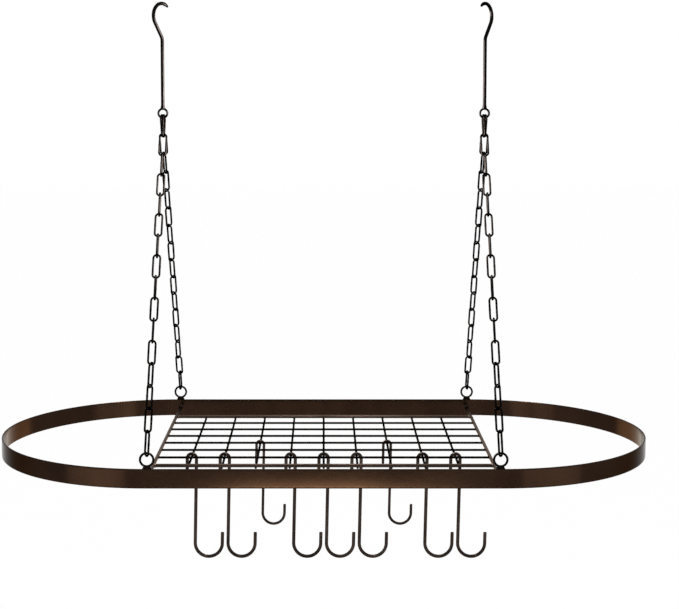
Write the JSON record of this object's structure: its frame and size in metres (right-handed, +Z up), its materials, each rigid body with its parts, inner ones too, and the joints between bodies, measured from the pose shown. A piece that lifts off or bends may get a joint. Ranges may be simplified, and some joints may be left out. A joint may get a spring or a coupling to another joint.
{
  "type": "hanging pot rack",
  "caption": "Oval hanging pot rack: a flat-bar hoop with a welded wire grid inside, hung on link chains from ceiling hooks, with loose J-shaped pot hooks over the grid's rungs.",
  "frame": {"origin": "midway between the two points where the ceiling hooks' arcs bear on what carries them", "axes": "+X along the hoop's long side to the right, +Y from the front to the back, +Z up"},
  "size_m": [0.8378, 0.4444, 0.704],
  "materials": {
    "bronze_hoop": "dark bronze, satin, slightly streaked",
    "frame_rods": "brown bronze, satin",
    "grid_wires": "brown-black, satin",
    "chain": "blackened, satin",
    "pot_hooks": "dark brown bronze, satin"
  },
  "bodies": {
    "ceiling_hooks": {"ceiling_hook_left": "chain", "ceiling_hook_right": "chain"},
    "top_links_left": {"chain_front_left_link_01": "chain", "chain_back_left_link_01": "chain"},
    "chains_left": {"chain_front_left_links_02_04": "chain", "chain_front_left_links_05_07": "chain", "chain_front_left_links_08_10": "chain", "chain_front_left_links_11_13": "chain", "chain_front_left_links_14_16": "chain", "chain_back_left_links_02_04": "chain", "chain_back_left_links_05_07": "chain", "chain_back_left_links_08_10": "chain", "chain_back_left_links_11_13": "chain", "chain_back_left_links_14_16": "chain"},
    "top_links_right": {"chain_front_right_link_01": "chain", "chain_back_right_link_01": "chain"},
    "chains_right": {"chain_front_right_links_02_04": "chain", "chain_front_right_links_05_07": "chain", "chain_front_right_links_08_10": "chain", "chain_front_right_links_11_13": "chain", "chain_front_right_links_14_16": "chain", "chain_back_right_links_02_04": "chain", "chain_back_right_links_05_07": "chain", "chain_back_right_links_08_10": "chain", "chain_back_right_links_11_13": "chain", "chain_back_right_links_14_16": "chain"},
    "rack": {"oval_hoop": "bronze_hoop", "crossbar_left": "frame_rods", "crossbar_right": "frame_rods", "grid_rod_front": "frame_rods", "grid_rod_back": "frame_rods", "long_wire_1": "grid_wires", "long_wire_2": "grid_wires", "long_wire_3": "grid_wires", "long_wire_4": "grid_wires", "long_wire_5": "grid_wires", "long_wire_6": "grid_wires", "rung_1": "grid_wires", "rung_2": "grid_wires", "rung_3": "grid_wires", "rung_4": "grid_wires", "rung_5": "grid_wires", "rung_6": "grid_wires", "rung_7": "grid_wires", "rung_8": "grid_wires", "rung_9": "grid_wires", "eyelet_front_left": "chain", "eyelet_back_left": "chain", "eyelet_front_right": "chain", "eyelet_back_right": "chain"},
    "pot_hook_1": {"pot_hook_1": "pot_hooks"},
    "pot_hook_2": {"pot_hook_2": "pot_hooks"},
    "pot_hook_3": {"pot_hook_3": "pot_hooks"},
    "pot_hook_4": {"pot_hook_4": "pot_hooks"},
    "pot_hook_5": {"pot_hook_5": "pot_hooks"},
    "pot_hook_6": {"pot_hook_6": "pot_hooks"},
    "pot_hook_7": {"pot_hook_7": "pot_hooks"},
    "pot_hook_8": {"pot_hook_8": "pot_hooks"},
    "pot_hook_9": {"pot_hook_9": "pot_hooks"}
  },
  "joints": [
    {"name": "swing_left", "type": "hinge", "parent": "ceiling_hooks", "child": "top_links_left", "pos_m": [-0.208, 0, -0.14394], "axis": [1, 0, 0], "range_deg": [-15, 15]},
    {"name": "swing_right", "type": "hinge", "parent": "ceiling_hooks", "child": "top_links_right", "pos_m": [0.208, 0, -0.14394], "axis": [1, 0, 0], "range_deg": [-15, 15]},
    {"name": "side_swing_left", "type": "hinge", "parent": "top_links_left", "child": "chains_left", "pos_m": [-0.208, 0, -0.16668], "axis": [0, 1, 0], "range_deg": [-10, 10]},
    {"name": "side_swing_right", "type": "hinge", "parent": "top_links_right", "child": "chains_right", "pos_m": [0.208, 0, -0.16668], "axis": [0, 1, 0], "range_deg": [-10, 10]},
    {"name": "rack_level", "type": "hinge", "parent": "chains_left", "child": "rack", "pos_m": [-0.208, 0, -0.53548], "axis": [0, 1, 0], "range_deg": [-10, 10]},
    {"name": "pot_hook_1_swing", "type": "hinge", "parent": "rack", "child": "pot_hook_1", "pos_m": [-0.166, -0.08811, -0.56788], "axis": [1, 0, 0], "range_deg": [-25, 25]},
    {"name": "pot_hook_2_swing", "type": "hinge", "parent": "rack", "child": "pot_hook_2", "pos_m": [-0.1245, -0.08811, -0.56788], "axis": [1, 0, 0], "range_deg": [-25, 25]},
    {"name": "pot_hook_3_swing", "type": "hinge", "parent": "rack", "child": "pot_hook_3", "pos_m": [-0.083, -0.0118, -0.56788], "axis": [1, 0, 0], "range_deg": [-25, 25]},
    {"name": "pot_hook_4_swing", "type": "hinge", "parent": "rack", "child": "pot_hook_4", "pos_m": [-0.0415, -0.08811, -0.56788], "axis": [1, 0, 0], "range_deg": [-25, 25]},
    {"name": "pot_hook_5_swing", "type": "hinge", "parent": "rack", "child": "pot_hook_5", "pos_m": [0, -0.08811, -0.56788], "axis": [1, 0, 0], "range_deg": [-25, 25]},
    {"name": "pot_hook_6_swing", "type": "hinge", "parent": "rack", "child": "pot_hook_6", "pos_m": [0.0415, -0.08811, -0.56788], "axis": [1, 0, 0], "range_deg": [-25, 25]},
    {"name": "pot_hook_7_swing", "type": "hinge", "parent": "rack", "child": "pot_hook_7", "pos_m": [0.083, -0.0118, -0.56788], "axis": [1, 0, 0], "range_deg": [-25, 25]},
    {"name": "pot_hook_8_swing", "type": "hinge", "parent": "rack", "child": "pot_hook_8", "pos_m": [0.1245, -0.08811, -0.56788], "axis": [1, 0, 0], "range_deg": [-25, 25]},
    {"name": "pot_hook_9_swing", "type": "hinge", "parent": "rack", "child": "pot_hook_9", "pos_m": [0.166, -0.08811, -0.56788], "axis": [1, 0, 0], "range_deg": [-25, 25]}
  ],
  "couplings": [
    {"joint": "swing_right", "follows": "swing_left", "ratio": 1},
    {"joint": "side_swing_right", "follows": "side_swing_left", "ratio": 1},
    {"joint": "rack_level", "follows": "side_swing_left", "ratio": -1}
  ]
}
